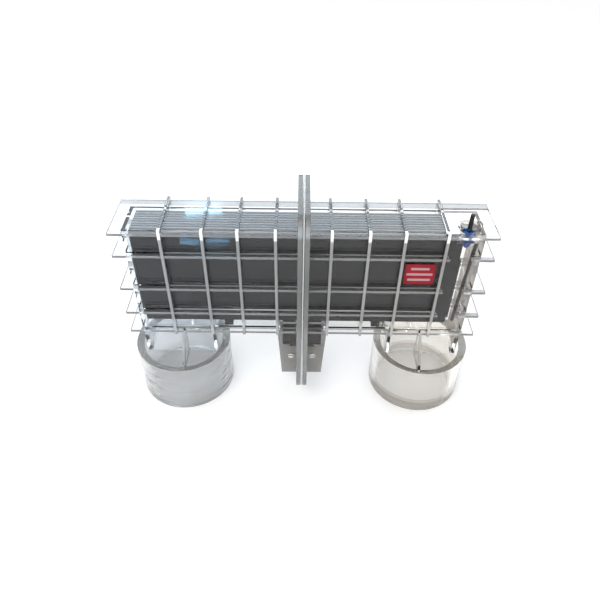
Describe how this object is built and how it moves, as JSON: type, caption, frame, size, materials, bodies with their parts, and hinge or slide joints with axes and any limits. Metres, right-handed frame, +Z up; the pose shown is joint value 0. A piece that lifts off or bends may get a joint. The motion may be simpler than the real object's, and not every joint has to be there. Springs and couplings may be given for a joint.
{
  "type": "salt chlorine generator",
  "caption": "Clear ribbed salt chlorine generator cell: a slim flanged box with a pack of electrode plates, on two round pipe sockets that point down.",
  "frame": {"origin": "on the level of the two socket rims, midway between the sockets' axes, below the flange", "axes": "+X along the box from the left half to the right half, +Y towards the back, away from the label, +Z up from the socket rims to the plates"},
  "size_m": [0.2544, 0.0714, 0.171],
  "materials": {
    "clear": "clear moulded plastic, glossy",
    "clear_seal": "clear silicone, satin",
    "anode": "dark mixed-oxide coating, matt",
    "cathode": "dark titanium, satin",
    "titanium": "bare titanium, satin",
    "steel": "bright turned",
    "black": "moulded, satin",
    "black_rubber": "matt",
    "blue": "soft glossy",
    "red_label": "printed film"
  },
  "bodies": {
    "cell": {"housing_left": "clear", "housing_right": "clear", "flange_seal": "clear_seal", "anode_plate_1": "anode", "anode_plate_2": "anode", "anode_plate_3": "anode", "anode_plate_4": "anode", "anode_plate_5": "anode", "cathode_plate_1": "cathode", "cathode_plate_2": "cathode", "cathode_plate_3": "cathode", "cathode_plate_4": "cathode", "anode_busbar": "titanium", "cathode_busbar": "titanium", "bottom_comb_left": "clear", "bottom_comb_right": "clear", "end_comb_left": "clear", "end_comb_right": "clear", "terminal_block_left": "black", "terminal_block_right": "black", "terminal_seal_left": "black_rubber", "terminal_seal_right": "black_rubber", "terminal_post_left": "titanium", "terminal_post_right": "titanium", "level_rod": "black", "warning_label": "red_label"},
    "screw_left": {"clamp_screw_left": "steel"},
    "screw_right": {"clamp_screw_right": "steel"},
    "sensor": {"sensor_bung": "blue", "sensor_stem": "black"}
  },
  "joints": [
    {"name": "left_screw_turn", "type": "hinge", "parent": "cell", "child": "screw_left", "pos_m": [-0.0081, -0.0144, 0.0376], "axis": [0, -1, 0], "continuous": true},
    {"name": "right_screw_turn", "type": "hinge", "parent": "cell", "child": "screw_right", "pos_m": [0.0081, -0.0144, 0.0376], "axis": [0, -1, 0], "continuous": true},
    {"name": "sensor_pull", "type": "slide", "parent": "cell", "child": "sensor", "axis": [0, 0, 1], "range_m": [0, 0.022]}
  ]
}
